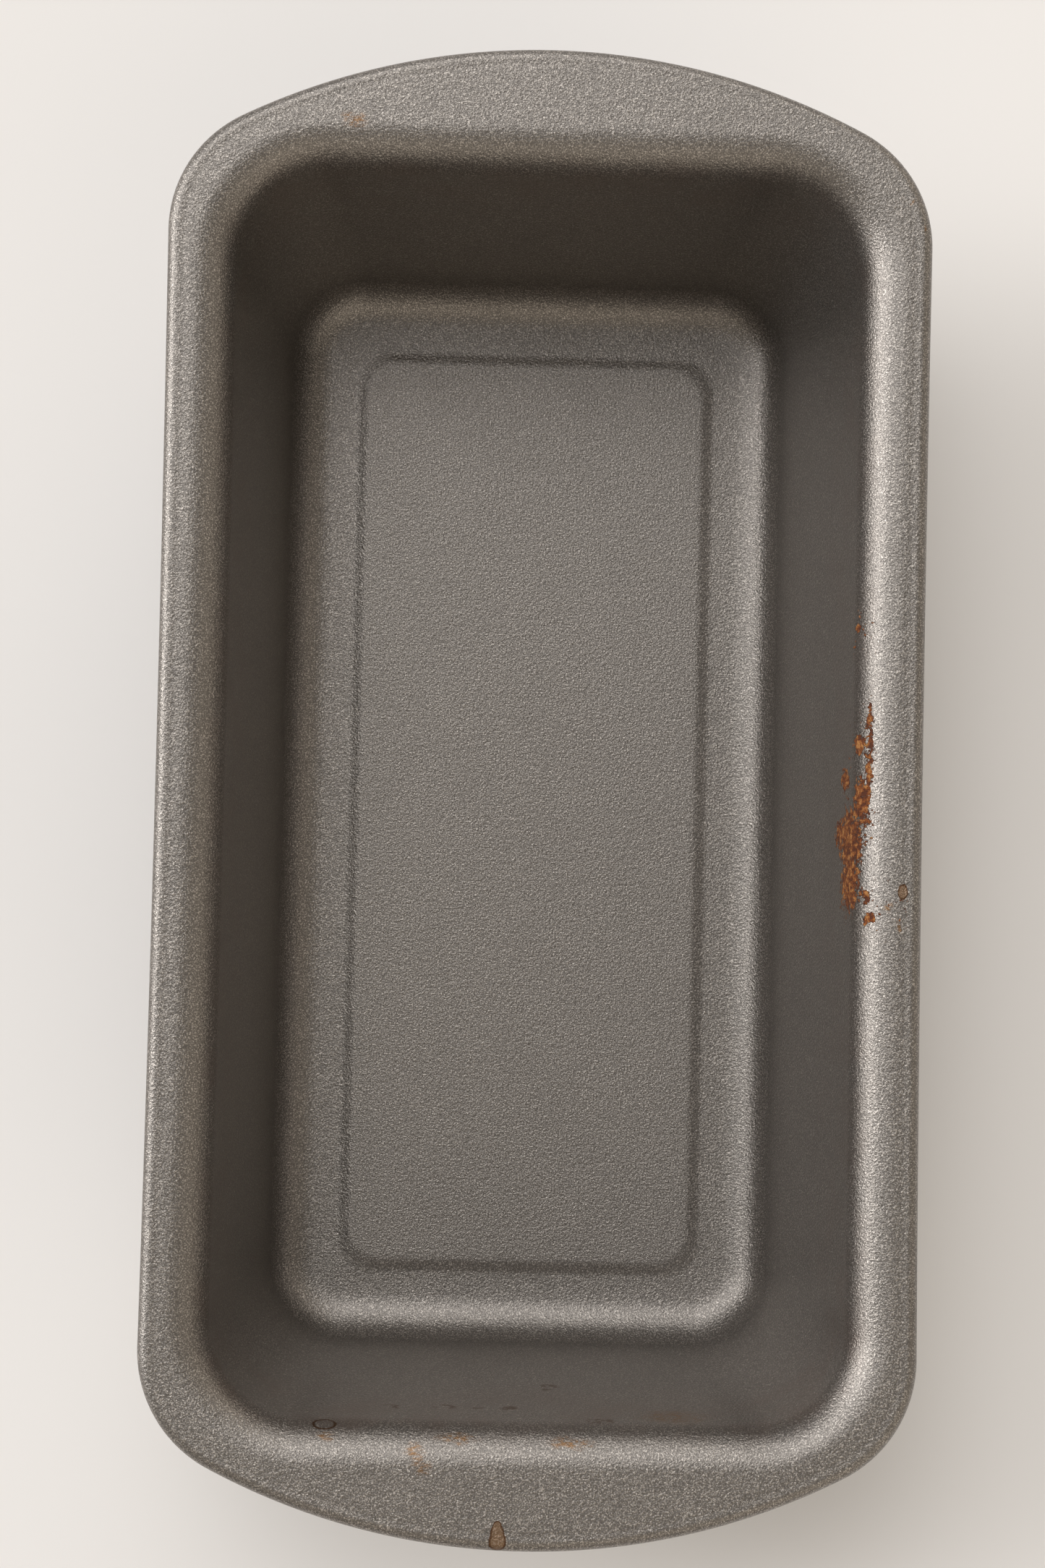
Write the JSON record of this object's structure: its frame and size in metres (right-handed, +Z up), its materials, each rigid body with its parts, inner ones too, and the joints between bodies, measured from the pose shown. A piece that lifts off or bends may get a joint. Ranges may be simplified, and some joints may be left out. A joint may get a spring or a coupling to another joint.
{
  "type": "loaf pan",
  "caption": "Rectangular metal loaf pan with sloping walls, a flat arc-ended handle at each end and a rim rolled over a stiffening wire.",
  "frame": {"origin": "on the surface the pan stands on, under the middle of the base", "axes": "+Y along the long walls, from handle to handle; +X across the pan; +Z up out of the mouth"},
  "size_m": [0.1314, 0.256, 0.065],
  "materials": {
    "nonstick_coating": "satin grey non-stick coating with a fine metallic fleck",
    "wire_steel": "drawn wire, plain"
  },
  "bodies": {
    "root": {"pan_shell": "nonstick_coating", "rim_wire": "wire_steel"}
  },
  "joints": []
}
